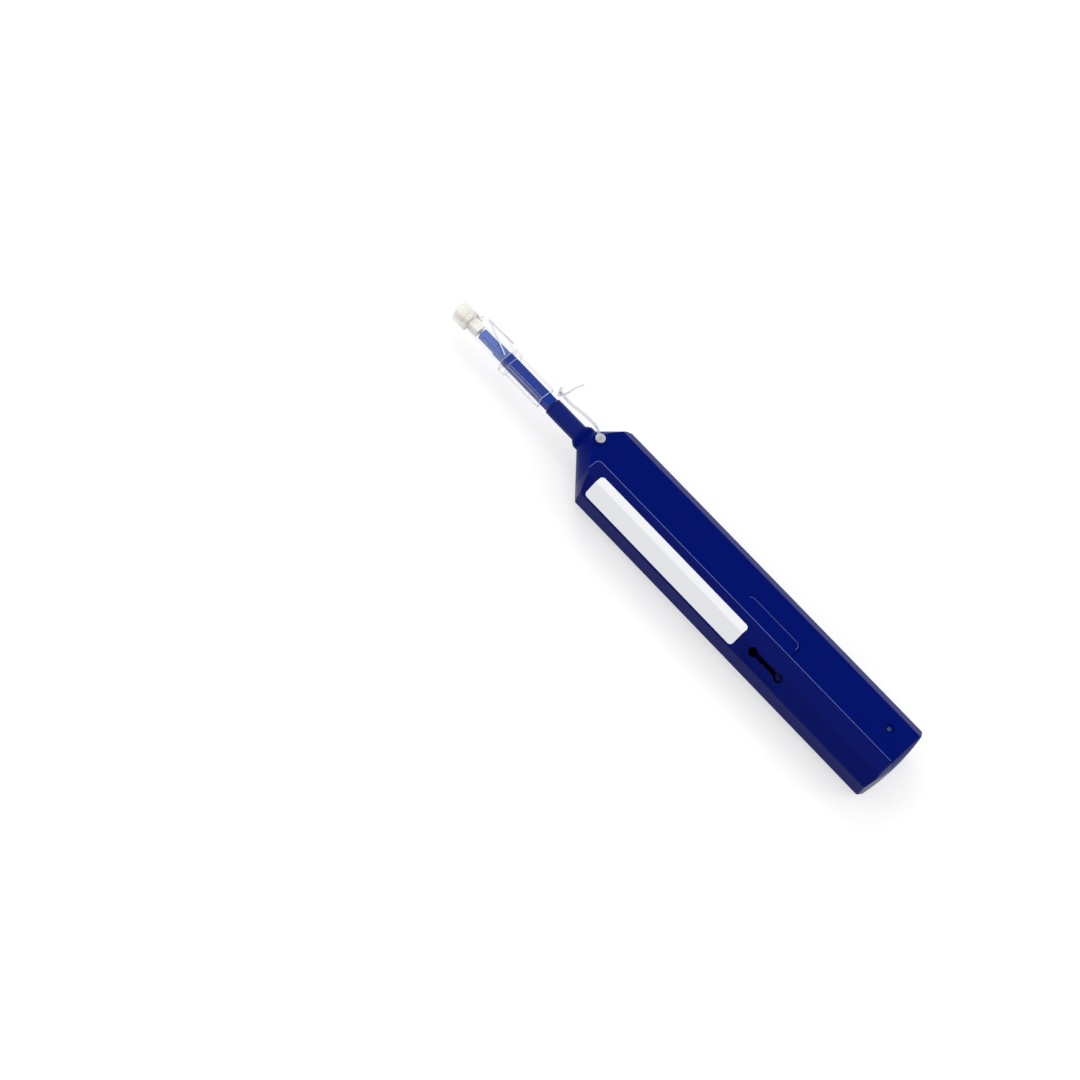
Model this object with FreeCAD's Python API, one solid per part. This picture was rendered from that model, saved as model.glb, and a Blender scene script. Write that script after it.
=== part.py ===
"""Push-type fibre connector cleaning pen, in millimetres.

X runs along the pen towards the nozzle, Y to the left, Z up. The pen lies on its wide bottom face, and the
origin is the centre of its box on that face. Every station along X is measured from the wide faces' rear edge.
"""
import FreeCAD, Part
import math
import os

from FreeCAD import Vector

# ---- case -------------------------------------------------------------------------------------------------
CASE_WIDTH = 33.0
CASE_DEPTH = 18.0
CASE_CHAMFER = 5.1            # 45 degree chamfer along each long edge
CASE_EDGE_R = 0.8             # rounding of every outer edge of the case
WALL = 1.6
REAR_WALL = 2.0
REAR_BULGE = 1.9              # the rear end swells this far behind the wide faces' rear edges
REAR_SIDE_DROP = 2.2          # and falls away this much towards the narrow sides
NOZZLE_OFFSET = 2.6           # the nozzle sits this far to the right of the case's middle
COLLAR_ROOT = 160.9           # station of the collar's root
NOSE_R = 4.9                  # radius of the conical nose where the collar starts
COLLAR_LENGTH = 2.0
COLLAR_LIP = 1.5              # length of the cone in front of the collar
COLLAR_LIP_R = 3.95

# ---- seam between the two case halves -----------------------------------------------------------------------
SEAM_Y = 4.3
COVER_FRONT = 150.6
SEAM_CORNER_R = 1.6
SEAM_GAP = 0.08
SEAM_GROOVE = 0.45            # width of the V groove along the seam
RAIL_GAP = 0.2                # between the sliding unit and the case
RAIL_WIDTH = 1.4
RAIL_HEIGHT = 1.6

# ---- snap finger of the main case ---------------------------------------------------------------------------
FINGER_REAR = 51.5
FINGER_LENGTH = 26.0
FINGER_WIDTH = 6.3
FINGER_SLIT = 0.35
FINGER_SLIT_DEPTH = 0.7
FINGER_CORNER_R = 2.0

# ---- locking pin --------------------------------------------------------------------------------------------
PIN_X = 9.2
PIN_Y = -4.6
PIN_R = 0.75
PIN_HEAD_R = 0.85
PIN_HEAD = 0.3
PIN_RECESS_R = 2.0
PIN_RECESS_DEPTH = 0.5
PIN_EYE_R = 2.4
PIN_EYE_HEIGHT = 3.0

# ---- label --------------------------------------------------------------------------------------------------
LABEL_REAR = 69.0
LABEL_LENGTH = 76.0
LABEL_TOP = 3.5               # width of the label on the wide face
LABEL_SIDE = 6.5              # width of the label on the chamfer
LABEL_THICK = 0.12
LABEL_CORNER_R = 1.5

# ---- latch --------------------------------------------------------------------------------------------------
LATCH_REST = 48.9             # station of the rear hole
LATCH_PITCH = 12.8            # travel of the sliding unit between the two holes
LATCH_DROP = 2.2              # from the chamfer's upper edge to the middle of the holes
LATCH_HOLE_R = 1.85
LATCH_SLOT = 1.9
LATCH_DISH_R = 2.6
LATCH_DISH_DEPTH = 0.35
LATCH_DISH_SHIFT = 1.4        # the finger dish sits lower on the chamfer than the holes
LATCH_STEM_R = 0.75
LATCH_HEAD_R = 1.6
LATCH_HEAD = 1.2
LATCH_TRAVEL = 1.2
LATCH_GUIDE_R = 0.9
LATCH_GUIDE = 3.2
LATCH_BORE = 5.4
LATCH_SEAT = 2.0              # room for the latch spring, fully pressed
LATCH_SPRING_WIRE = 0.3

# ---- tether -------------------------------------------------------------------------------------------------
TETHER_X = 156.3
TETHER_Y = -1.9
TETHER_BOSS_R = 2.5
TETHER_DISC_R = 1.9
TETHER_DISC = 0.7
TETHER_SHANK_R = 0.75
TETHER_SHANK = 2.4
TETHER_EYE_R = 1.75
TETHER_R = 0.42

# ---- sliding unit: frame that carries the reels and the nozzle ----------------------------------------------
BASE_REAR = 36.0
BASE_FRONT = 133.0
BASE_WIDTH = 20.0
BASE_THICK = 1.6
FRONT_BRIDGE = 3.0
FRONT_BRIDGE_HALF = 5.6
BRIDGE_FOOT = 6.0
MID_BRIDGE_X = 109.0
MID_BRIDGE = 3.0
BRIDGE_TOP = 5.2              # bridge height above the nozzle axis
CAM_PIN_X = 96.0
CAM_PIN_R = 0.6
CAM_ARM = 1.4
CAM_ARM_WIDTH = 3.0

# ---- nozzle -------------------------------------------------------------------------------------------------
NECK_R = 3.5
NECK_EXPOSED = 14.8           # in front of the collar at rest
NECK_FLANGE_R = 4.6
NECK_FLANGE = 2.0
NECK_GROOVE = 0.35
TUBE_SIDE = 4.4
TUBE_CORNER_R = 0.45
TUBE_EXPOSED = 24.8
TUBE_SOCKET = 8.0
GUIDE_SIDE = 3.9
GUIDE_REAR = 5.0
GUIDE_NOSE_SIDE = 3.3
GUIDE_NOSE = 8.2
SLIDE_CLEAR = 0.1             # radial clearance of round sliding fits
SHAFT_CLEAR = 0.05            # radial clearance of turning shafts
PUSH_STROKE = 9.0

# ---- turning head shaft -------------------------------------------------------------------------------------
SHAFT_R = 1.2
HEAD_R = 0.8
HEAD_OUT = 0.5                # the cleaning head stands out of its guide
DRUM_R = 3.1
DRUM_END = 3.0                # drum length beyond the cam pin, at each end of the stroke
GROOVE_DEPTH = 1.0
GROOVE_CLEAR = 0.1            # between the cam pin and each flank of the groove
PIN_TIP_GAP = 0.3             # from the cam pin's tip to the groove's floor
HEAD_TURN = 180.0
THREAD_THICK = 0.12

# ---- return spring ------------------------------------------------------------------------------------------
SPRING_R = 2.5
SPRING_WIRE = 0.55
SPRING_TURNS = 8
COIL_FLATS = 10               # flats per turn of a spring's wire

# ---- rack, gear and reels -----------------------------------------------------------------------------------
MODULE = 0.8
GEAR_TEETH = 18
GEAR_X = 74.0
GEAR_HEIGHT = 2.0
RACK_BACK = 2.0
RACK_TAIL = 5.0               # rack behind the gear's centre at rest
BACKLASH = 0.2
AXLE_R = 1.5
LEVEL_GAP = 0.25              # between parts stacked on one axle
TAKE_UP_R = 8.4
SUPPLY_X = 52.0
SUPPLY_Y = -3.4
SUPPLY_R = 9.0
FLANGE = 0.8
HUB_R = 3.2
REEL_HEIGHT = 6.4
TAKE_UP_ROLL_R = 4.6
SUPPLY_ROLL_R = 8.2
RATCHET_TEETH = 20
RATCHET_HEIGHT = 1.0
RATCHET_R = 6.6
PAWL_THICK = 0.5
PAWL_GAP = 0.3
PAWL_REACH = 2.0
PAWL_FOOT = 2.0

# ---- guide cap ----------------------------------------------------------------------------------------------
CAP_REAR = 182.9
SKIRT_SIDE = 6.9
SKIRT_LENGTH = 17.5
FLANGE_SIDE = 8.3
FLANGE_LENGTH = 3.0
BARREL_SIDE = 5.5
CAP_FIT = 0.2                 # between the cap and what it slides over
CAP_CORNER_R = 1.2
INSERT_GAP = 0.4              # from the cleaning head to the ferrule guide
INSERT_LENGTH = 5.0
INSERT_WALL = 0.65
FERRULE_R = 0.64
LID_SIDE = 5.7
LID_WALL = 0.6
LID_LENGTH = 7.25
LID_GAP = 0.05
LID_PLUG_SIDE = 4.3
LID_PLUG_GAP = 0.3
LID_HINGE_OUT = 1.7           # hinge line outside the cap's right side
LID_HINGE_BACK = 1.4          # and behind its front end
HINGE_R = 0.5
HINGE_GAP = 0.06
LID_ROUND = 1.0               # bevel round the lid's closed end
LID_CORNER_R = 1.6
STRAP_THICK = 0.6
STRAP_WIDTH = 2.6
STRAP_BOW = 4.2               # the strap's crown outside the cap's right side
EAR_OUT = 1.0
EAR_LENGTH = 3.0
EAR_WIDTH = 3.4
EYELET_X = 182.4
EYELET_R = 1.4
EYELET_Y = -7.6
EYELET_Z = 11.4
EYELET_THICK = 1.2
TETHER_END_GAP = 0.05

# ---- stations in the part's frame ---------------------------------------------------------------------------
NECK_FRONT = COLLAR_ROOT + COLLAR_LENGTH + COLLAR_LIP + NECK_EXPOSED
TUBE_FRONT = NECK_FRONT + TUBE_EXPOSED
GUIDE_FRONT = TUBE_FRONT + GUIDE_REAR + GUIDE_NOSE
HEAD_FRONT = GUIDE_FRONT + HEAD_OUT
INSERT_REAR = HEAD_FRONT + INSERT_GAP
INSERT_FRONT = INSERT_REAR + INSERT_LENGTH
OVERALL = REAR_BULGE + INSERT_FRONT + LID_GAP + LID_LENGTH
AXIS_Y = -NOZZLE_OFFSET
AXIS_Z = CASE_DEPTH / 2
HALF = CASE_WIDTH / 2
ROOT2 = math.sqrt(2)
BEVEL_SHARE = 0.6             # a bevel of this share of the radius looks as large as the rounding
FLOOR = WALL
CEILING = CASE_DEPTH - WALL
BASE_Z = FLOOR + RAIL_GAP
BASE_TOP = BASE_Z + BASE_THICK
GEAR_R = MODULE * GEAR_TEETH / 2
RACK_LINE = AXIS_Y - DRUM_R - RAIL_GAP - MODULE
GEAR_Y = RACK_LINE + GEAR_R
RACK_Z = BASE_TOP + RAIL_GAP
FLANGE_REAR = BASE_FRONT - NECK_FLANGE - RAIL_GAP
LATCH_NORMAL = Vector(0, 1 / ROOT2, 1 / ROOT2)

X, Y, Z = Vector(1, 0, 0), Vector(0, 1, 0), Vector(0, 0, 1)


def at(station):
    """X in the part's frame of a station measured from the rear edge of the wide faces."""
    return station + REAR_BULGE - OVERALL / 2


# ---- small builders -----------------------------------------------------------------------------------------
def block(x0, x1, y0, y1, z0, z1):
    return Part.makeBox(x1 - x0, y1 - y0, z1 - z0, Vector(x0, y0, z0))


def rod(radius, length, base, direction):
    return Part.makeCylinder(radius, length, base, direction)


def ring(outer, inner, length, base, direction):
    reach = Vector(direction).multiply(1.0)
    return rod(outer, length, base, direction).cut(rod(inner, length + 2, base - reach, direction))


def polygon(points):
    return Part.makePolygon(points + [points[0]])


def sweep_x(profile, x0, x1):
    """Extrudes a list of (y, z) points from x0 to x1."""
    face = Part.Face(polygon([Vector(x0, y, z) for y, z in profile]))
    return face.extrude(Vector(x1 - x0, 0, 0))


def sweep_z(profile, z0, z1):
    """Extrudes a list of (x, y) points from z0 to z1."""
    face = Part.Face(polygon([Vector(x, y, z0) for x, y in profile]))
    return face.extrude(Vector(0, 0, z1 - z0))


def along(shape, axis):
    """The straight edges of a shape that run along one axis."""
    found = []
    for edge in shape.Edges:
        if len(edge.Vertexes) == 2:
            step = edge.Vertexes[1].Point - edge.Vertexes[0].Point
            if step.cross(axis).Length < 1e-6:
                found.append(edge)
    return found


def square_bar(side, corner, x0, x1, y=None, z=None):
    """Square bar along X with bevelled long edges, centred on the nozzle axis unless told otherwise."""
    y = AXIS_Y if y is None else y
    z = AXIS_Z if z is None else z
    bar = block(x0, x1, y - side / 2, y + side / 2, z - side / 2, z + side / 2)
    return bar.makeChamfer(corner * BEVEL_SHARE, along(bar, X)) if corner else bar


def axis_rod(radius, x0, x1):
    return rod(radius, x1 - x0, Vector(x0, AXIS_Y, AXIS_Z), X)


def axis_cone(r0, r1, x0, x1):
    return Part.makeCone(r0, r1, x1 - x0, Vector(x0, AXIS_Y, AXIS_Z), X)


def wire_section(centre, direction, radius, sides=6):
    """Many-sided section of a thin wire or strap."""
    corners = Part.makeCircle(radius, centre, direction).discretize(sides + 1)[:sides]
    return polygon(corners)


def coil(radius, wire, length, turns, base, direction):
    """Compression spring between two flat seats, its wire bent in short flats to keep the surface light."""
    pitch = (length - wire) / turns
    points = []
    for i in range(turns * COIL_FLATS + 1):
        angle = 2 * math.pi * i / COIL_FLATS
        points.append(Vector(radius * math.cos(angle), radius * math.sin(angle), wire / 2 + pitch * i / COIL_FLATS))
    section = wire_section(points[0], points[1] - points[0], wire / 2, 5)
    spring = Part.makePolygon(points).makePipeShell([section], True, False, 1)
    turn = FreeCAD.Rotation(Z, direction)
    spring.Placement = FreeCAD.Placement(base, turn).multiply(spring.Placement)
    return spring


def gear(teeth, height, base, bore):
    """Spur gear about Z with straight-flanked teeth, a tooth gap facing -Y."""
    root = MODULE * (teeth / 2 - 1.25)
    pitch_r = MODULE * teeth / 2
    tip = MODULE * (teeth / 2 + 1)
    step = 2 * math.pi / teeth
    half = step / 4 - BACKLASH / 4 / pitch_r
    slope = math.tan(math.radians(20))
    points = []
    for i in range(teeth):
        middle = -math.pi / 2 + (i + 0.5) * step
        for radius, sign in ((root, -1), (tip, -1), (tip, 1), (root, 1)):
            spread = half - (radius - pitch_r) * slope / pitch_r
            angle = middle + sign * spread
            points.append((base.x + radius * math.cos(angle), base.y + radius * math.sin(angle)))
    blank = sweep_z(points, base.z, base.z + height)
    return blank.cut(rod(bore, height + 2, base - Z, Z))


def rack(x0, x1, z0, height, phase):
    """Straight rack whose teeth point to +Y, with a tooth centred on the gear's centre line."""
    step = MODULE * math.pi
    line = RACK_LINE
    slope = math.tan(math.radians(20))
    root, tip = line - 1.25 * MODULE, line + MODULE
    bar = block(x0, x1, root - RACK_BACK, root, z0, z0 + height)
    count = int((x1 - x0) / step) + 2
    first = math.ceil((x0 - phase) / step)
    teeth = []
    for i in range(count):
        middle = phase + (first + i) * step
        if middle - step / 2 < x0 or middle + step / 2 > x1:
            continue
        half = step / 4 - BACKLASH / 4
        wide, narrow = half + (line - root) * slope, half - (tip - line) * slope
        teeth.append(sweep_z([(middle - wide, root - 0.2), (middle - wide, root), (middle - narrow, tip),
                              (middle + narrow, tip), (middle + wide, root), (middle + wide, root - 0.2)],
                             z0, z0 + height))
    return bar.multiFuse(teeth).removeSplitter()


# ---- case ---------------------------------------------------------------------------------------------------
def case_section(inset):
    """The octagonal section of the case, set in by a wall."""
    half, low, high = HALF - inset, inset, CASE_DEPTH - inset
    c = CASE_CHAMFER - inset * (2 - ROOT2)
    return [(half, low + c), (half, high - c), (half - c, high), (-half + c, high), (-half, high - c),
            (-half, low + c), (-half + c, low), (half - c, low)]


def nose_envelope(inset):
    """Everything inside the 45 degree nose cone, set in by a wall."""
    reach = 2 * CASE_WIDTH
    front = NOSE_R - inset * ROOT2
    cone = axis_cone(front + CASE_WIDTH, front, at(COLLAR_ROOT) - CASE_WIDTH, at(COLLAR_ROOT))
    rear = axis_rod(reach, at(0) - REAR_BULGE - 1, at(COLLAR_ROOT) - CASE_WIDTH)
    return rear.fuse(cone)


def swell(across, drop, axis, middle):
    """Solid whose rear is a shallow arc about one axis, REAR_BULGE behind the wide faces' rear edges."""
    radius = (across ** 2 + drop ** 2) / (2 * drop)
    reach = 2 * CASE_WIDTH
    centre = Vector(at(0) - REAR_BULGE + radius, 0, middle)
    drum = rod(radius, 2 * reach, centre - Vector(axis).multiply(reach), axis)
    return drum.fuse(block(centre.x, at(COLLAR_ROOT) + 1, -reach, reach, -reach, reach))


def rear_envelope():
    upright = swell(AXIS_Z, REAR_BULGE, Y, AXIS_Z)
    return upright.common(swell(HALF, REAR_SIDE_DROP, Z, AXIS_Z))


def case_shell():
    prism = sweep_x(case_section(0), at(0) - REAR_BULGE, at(COLLAR_ROOT))
    prism = prism.makeFillet(CASE_EDGE_R, along(prism, X))
    prism = prism.common(rear_envelope())
    rim = [e for e in prism.Edges if e.BoundBox.XMax < at(REAR_WALL) and not e.Curve.TypeId.endswith("GeomLine")]
    outside = prism.makeChamfer(CASE_EDGE_R * 0.6, rim).common(nose_envelope(0))
    collar_end = at(COLLAR_ROOT) + COLLAR_LENGTH
    collar = axis_rod(NOSE_R, at(COLLAR_ROOT) - 1, collar_end)
    lip = axis_cone(NOSE_R, COLLAR_LIP_R, collar_end, collar_end + COLLAR_LIP)
    boss_base = Vector(at(TETHER_X), TETHER_Y, CASE_DEPTH - 4)
    outside = outside.multiFuse([collar, lip, rod(TETHER_BOSS_R, 4, boss_base, Z)])
    inside = sweep_x(case_section(WALL), at(REAR_WALL), at(COLLAR_ROOT)).common(nose_envelope(WALL))
    bore = axis_rod(NECK_R + SLIDE_CLEAR, at(COLLAR_ROOT) - 8, collar_end + COLLAR_LIP + 1)
    rivet_hole = rod(TETHER_SHANK_R, TETHER_SHANK + 1, Vector(at(TETHER_X), TETHER_Y, CASE_DEPTH - TETHER_SHANK), Z)
    return outside.cut(inside.fuse(bore)).cut(rivet_hole)


def cover_zone(grow):
    """Plan of the side cover: left of the seam, with a rounded front corner."""
    x1, y0 = at(COVER_FRONT) + grow, SEAM_Y - grow
    zone = block(at(0) - REAR_BULGE - 5, x1, y0, CASE_WIDTH, -5, CASE_DEPTH + 5)
    corner = [e for e in along(zone, Z) if abs(e.Vertexes[0].X - x1) < 1e-6 and abs(e.Vertexes[0].Y - y0) < 1e-6]
    return zone.makeFillet(SEAM_CORNER_R + grow, corner)


def seam_groove(z, turn):
    """V groove along the seam on the top (turn 1) or bottom (turn -1) face."""
    x1, r = at(COVER_FRONT), SEAM_CORNER_R
    start, bend = Vector(at(0) - REAR_BULGE - 2, SEAM_Y, z), Vector(x1 - r, SEAM_Y, z)
    middle = Vector(x1 - r + r * math.sin(math.pi / 4), SEAM_Y + r - r * math.cos(math.pi / 4), z)
    end, last = Vector(x1, SEAM_Y + r, z), Vector(x1, HALF, z)
    path = Part.Wire([Part.LineSegment(start, bend).toShape(), Part.Arc(bend, middle, end).toShape(),
                      Part.LineSegment(end, last).toShape()])
    half, deep = SEAM_GROOVE / 2, SEAM_GROOVE / 2
    section = polygon([start + Vector(0, -half - 0.1, turn * 0.1), start + Vector(0, 0, -turn * deep),
                       start + Vector(0, half + 0.1, turn * 0.1)])
    return path.makePipeShell([section], True, False)


def latch_point(station, height):
    """A point on the latch axis, at a height above the chamfer's outer face."""
    base = Vector(at(station), HALF - CASE_CHAMFER + LATCH_DROP / ROOT2, CASE_DEPTH - LATCH_DROP / ROOT2)
    return base + Vector(LATCH_NORMAL).multiply(height)


def latch_stadium(radius, y_shift, low, high):
    """Stadium-shaped cutter over both latch holes, between two heights on the latch axis."""
    down = Vector(0, 1 / ROOT2, -1 / ROOT2).multiply(y_shift)
    rear = latch_point(LATCH_REST, low) + down
    tall = high - low
    ends = [rod(radius, tall, rear, LATCH_NORMAL), rod(radius, tall, rear + Vector(LATCH_PITCH, 0, 0), LATCH_NORMAL)]
    across = Vector(0, 1 / ROOT2, -1 / ROOT2).multiply(radius)
    corners = [rear - across, rear + across]
    corners += [p + Vector(LATCH_PITCH, 0, 0) for p in reversed(corners)]
    middle = Part.Face(polygon(corners)).extrude(Vector(LATCH_NORMAL).multiply(tall))
    return middle.multiFuse(ends)


def rails(side):
    """Rail that keeps the sliding unit straight, along one side of the floor."""
    inner = BASE_WIDTH / 2 + RAIL_GAP
    y0, y1 = sorted((side * inner, side * (inner + RAIL_WIDTH)))
    return block(at(REAR_WALL), at(COVER_FRONT - 6), y0, y1, FLOOR - 0.5, FLOOR + RAIL_HEIGHT)


def main_case(shell):
    body = shell.fuse(rails(-1)).cut(cover_zone(SEAM_GAP))
    slit = FINGER_SLIT
    x0, x1 = at(FINGER_REAR), at(FINGER_REAR + FINGER_LENGTH)
    y0 = SEAM_Y - FINGER_WIDTH
    outer = block(x0 - slit, x1, y0 - slit, HALF, CASE_DEPTH - FINGER_SLIT_DEPTH, CASE_DEPTH + 1)
    inner = block(x0, x1 + 1, y0, HALF + 1, CASE_DEPTH - FINGER_SLIT_DEPTH - 1, CASE_DEPTH + 2)
    corner = lambda s, x, y: [e for e in along(s, Z) if abs(e.Vertexes[0].X - x) + abs(e.Vertexes[0].Y - y) < 1e-6]
    outer = outer.makeFillet(FINGER_CORNER_R + slit, corner(outer, x0 - slit, y0 - slit))
    inner = inner.makeFillet(FINGER_CORNER_R, corner(inner, x0, y0))
    body = body.cut(outer.cut(inner))
    top = Vector(at(PIN_X), PIN_Y, CASE_DEPTH - PIN_RECESS_DEPTH)
    body = body.cut(rod(PIN_RECESS_R, 2, top, Z))
    body = body.cut(rod(PIN_R, CASE_DEPTH, Vector(at(PIN_X), PIN_Y, FLOOR / 2), Z))
    return body.cut(seam_groove(CASE_DEPTH, 1)).cut(seam_groove(0, -1))


def side_cover(shell):
    body = shell.fuse(rails(1)).common(cover_zone(0))
    eye_z = AXIS_Z - PIN_EYE_HEIGHT / 2
    arm = block(at(REAR_WALL) + RAIL_GAP, at(PIN_X) + PIN_EYE_R, PIN_Y, HALF - WALL / 2, eye_z, eye_z + PIN_EYE_HEIGHT)
    eye = rod(PIN_EYE_R, PIN_EYE_HEIGHT, Vector(at(PIN_X), PIN_Y, eye_z), Z)
    body = body.multiFuse([arm, eye])
    body = body.cut(rod(PIN_R, CASE_DEPTH, Vector(at(PIN_X), PIN_Y, 0), Z))
    body = body.cut(latch_stadium(LATCH_SLOT / 2, 0, -2 * WALL, 1))
    for station in (LATCH_REST, LATCH_REST + LATCH_PITCH):
        body = body.cut(rod(LATCH_HOLE_R, 2 * WALL + 1, latch_point(station, -2 * WALL), LATCH_NORMAL))
    body = body.cut(latch_stadium(LATCH_DISH_R, LATCH_DISH_SHIFT, -LATCH_DISH_DEPTH, 2))
    return body.cut(seam_groove(CASE_DEPTH, 1)).cut(seam_groove(0, -1))


def case_pin():
    base = Vector(at(PIN_X), PIN_Y, FLOOR / 2)
    top = CASE_DEPTH - PIN_RECESS_DEPTH
    shank = rod(PIN_R, top - FLOOR / 2, base, Z)
    head = rod(PIN_HEAD_R, PIN_HEAD, Vector(at(PIN_X), PIN_Y, top), Z)
    head = head.makeChamfer(PIN_HEAD / 2, [e for e in head.Edges if e.BoundBox.ZMin > top + PIN_HEAD / 2])
    return shank.fuse(head)


def blank_label():
    """Plain label folded over the case's long edge."""
    def skin(offset):
        edge = Vector(0, HALF - CASE_CHAMFER, CASE_DEPTH)
        half_turn = math.radians(22.5)
        tangent = CASE_EDGE_R * math.tan(half_turn)
        centre = edge + Vector(0, -tangent, -CASE_EDGE_R)
        r = CASE_EDGE_R + offset
        down = Vector(0, 1 / ROOT2, -1 / ROOT2)
        side = Vector(LATCH_NORMAL)
        points = [edge + Vector(0, -LABEL_TOP, offset), centre + Vector(0, 0, r),
                  centre + Vector(0, r * math.sin(half_turn), r * math.cos(half_turn)),
                  centre + Vector(side).multiply(r), edge + Vector(down).multiply(LABEL_SIDE) + side * offset]
        return points
    low, high = skin(0), skin(LABEL_THICK)
    edges = [Part.LineSegment(low[0], low[1]).toShape(), Part.Arc(low[1], low[2], low[3]).toShape(),
             Part.LineSegment(low[3], low[4]).toShape(), Part.LineSegment(low[4], high[4]).toShape(),
             Part.LineSegment(high[4], high[3]).toShape(), Part.Arc(high[3], high[2], high[1]).toShape(),
             Part.LineSegment(high[1], high[0]).toShape(), Part.LineSegment(high[0], low[0]).toShape()]
    sheet = Part.Face(Part.Wire(edges))
    sheet.translate(Vector(at(LABEL_REAR), 0, 0))
    sheet = sheet.extrude(Vector(LABEL_LENGTH, 0, 0))
    corners = along(sheet, Z) + along(sheet, LATCH_NORMAL)
    return sheet.makeFillet(LABEL_CORNER_R, corners)


# ---- tether -------------------------------------------------------------------------------------------------
def tether_button():
    eye = 2 * TETHER_R
    base = Vector(at(TETHER_X), TETHER_Y, CASE_DEPTH + eye)
    disc = rod(TETHER_DISC_R, TETHER_DISC, base, Z)
    disc = disc.makeChamfer(TETHER_DISC * 0.5, [e for e in disc.Edges if e.BoundBox.ZMin > base.z + TETHER_DISC / 2])
    dimple = rod(TETHER_DISC_R * 0.3, 1, base + Vector(0, 0, TETHER_DISC * 0.6), Z)
    shank = rod(TETHER_SHANK_R, TETHER_SHANK + eye, base - Vector(0, 0, TETHER_SHANK + eye), Z)
    return disc.cut(dimple).fuse(shank)


# Where the strap bends: share of the way from the button to the eyelet, then how far aside and up, as shares of it.
TETHER_BENDS = [(0.063, -0.036, 0.018), (0.135, -0.072, -0.021), (0.206, -0.096, -0.049), (0.309, -0.096, -0.062),
                (0.435, -0.090, -0.062), (0.583, -0.058, -0.051), (0.726, -0.026, -0.038), (0.888, -0.006, -0.017)]


def tether_route():
    start = Vector(at(TETHER_X) + 0.86 * TETHER_EYE_R, TETHER_Y - 0.51 * TETHER_EYE_R, CASE_DEPTH + TETHER_R)
    end = Vector(at(EYELET_X) - EYELET_R - TETHER_END_GAP, EYELET_Y, EYELET_Z)
    span = end - start
    bends = [start + span * share + Vector(0, aside, up) * span.Length for share, aside, up in TETHER_BENDS]
    return [start] + bends + [end]


def rounded_path(points):
    """Straight runs with a tangent arc at each corner, as large as its runs allow."""
    edges, start = [], points[0]
    for before, corner, after in zip(points, points[1:], points[2:]):
        a, b = (before - corner), (after - corner)
        reach = 0.45 * min(a.Length, b.Length)
        turn = math.pi - a.getAngle(b)
        a.normalize(), b.normalize()
        into, out = corner + a * reach, corner + b * reach
        bisector = (a + b).normalize()
        sagitta = reach * math.tan(turn / 4)
        middle = (into + out) * 0.5 + bisector * -sagitta
        edges += [Part.LineSegment(start, into).toShape(), Part.Arc(into, middle, out).toShape()]
        start = out
    edges.append(Part.LineSegment(start, points[-1]).toShape())
    return Part.Wire(edges)


def tether_strap():
    route = tether_route()
    section = wire_section(route[0], route[1] - route[0], TETHER_R)
    strap = rounded_path(route).makePipeShell([section], True, False)
    eye_base = Vector(at(TETHER_X), TETHER_Y, CASE_DEPTH)
    strap = strap.cut(rod(TETHER_EYE_R - 0.3, 6, eye_base - Z * 3, Z))
    return strap.fuse(ring(TETHER_EYE_R, TETHER_SHANK_R, 2 * TETHER_R, eye_base, Z)).removeSplitter()


# ---- sliding unit -------------------------------------------------------------------------------------------
def rack_rear():
    """Y of the rack's plain side."""
    return RACK_LINE - 1.25 * MODULE - RACK_BACK


def unit_frame():
    half = BASE_WIDTH / 2
    base = block(at(BASE_REAR), at(BASE_FRONT), -half, half, BASE_Z, BASE_TOP)
    top = AXIS_Z + BRIDGE_TOP
    front = block(at(BASE_FRONT), at(BASE_FRONT + FRONT_BRIDGE), AXIS_Y - FRONT_BRIDGE_HALF,
                  AXIS_Y + FRONT_BRIDGE_HALF, AXIS_Z - BRIDGE_TOP, top)
    foot = block(at(BASE_FRONT - BRIDGE_FOOT), at(BASE_FRONT + FRONT_BRIDGE), AXIS_Y - FRONT_BRIDGE_HALF,
                 AXIS_Y + FRONT_BRIDGE_HALF, BASE_Z, AXIS_Z - BRIDGE_TOP)
    middle = block(at(MID_BRIDGE_X), at(MID_BRIDGE_X + MID_BRIDGE), AXIS_Y - FRONT_BRIDGE_HALF,
                   AXIS_Y + FRONT_BRIDGE_HALF, BASE_TOP - 0.2, top)
    arm_z = AXIS_Z + DRUM_R + RAIL_GAP
    arm = block(at(CAM_PIN_X) - 1.5, at(MID_BRIDGE_X) + 0.5, AXIS_Y - CAM_ARM_WIDTH / 2, AXIS_Y + CAM_ARM_WIDTH / 2,
                arm_z, arm_z + CAM_ARM)
    pillar = latch_pillar()
    frame = base.multiFuse([front, foot, middle, arm, pillar])
    slot = block(at(MID_BRIDGE_X) - 1, at(BASE_FRONT), rack_rear() - RAIL_GAP, RACK_LINE + MODULE + RAIL_GAP,
                 BASE_TOP, RACK_Z + GEAR_HEIGHT + RAIL_GAP)
    cutters = [slot, axis_rod(NECK_R + SLIDE_CLEAR, at(BASE_FRONT) - 8, at(BASE_FRONT + FRONT_BRIDGE) + 1),
               axis_rod(SHAFT_R + SHAFT_CLEAR, at(MID_BRIDGE_X) - 1, at(MID_BRIDGE_X + MID_BRIDGE) + 1),
               rod(CAM_PIN_R, 6, Vector(at(CAM_PIN_X), AXIS_Y, AXIS_Z), Z)]
    for x, y in ((GEAR_X, GEAR_Y), (SUPPLY_X, SUPPLY_Y)):
        cutters.append(rod(AXLE_R, 3, Vector(at(x), y, BASE_Z + 0.4), Z))
    hole = latch_point(LATCH_REST, latch_seat() - LATCH_BORE)
    cutters.append(rod(LATCH_GUIDE_R + SHAFT_CLEAR, LATCH_BORE + 1, hole, LATCH_NORMAL))
    return frame.cut(cutters)


def latch_seat():
    """Height on the latch axis of the pillar's sloped top, under the spring."""
    return -WALL - RAIL_GAP - LATCH_HEAD - LATCH_TRAVEL - LATCH_SEAT


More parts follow.
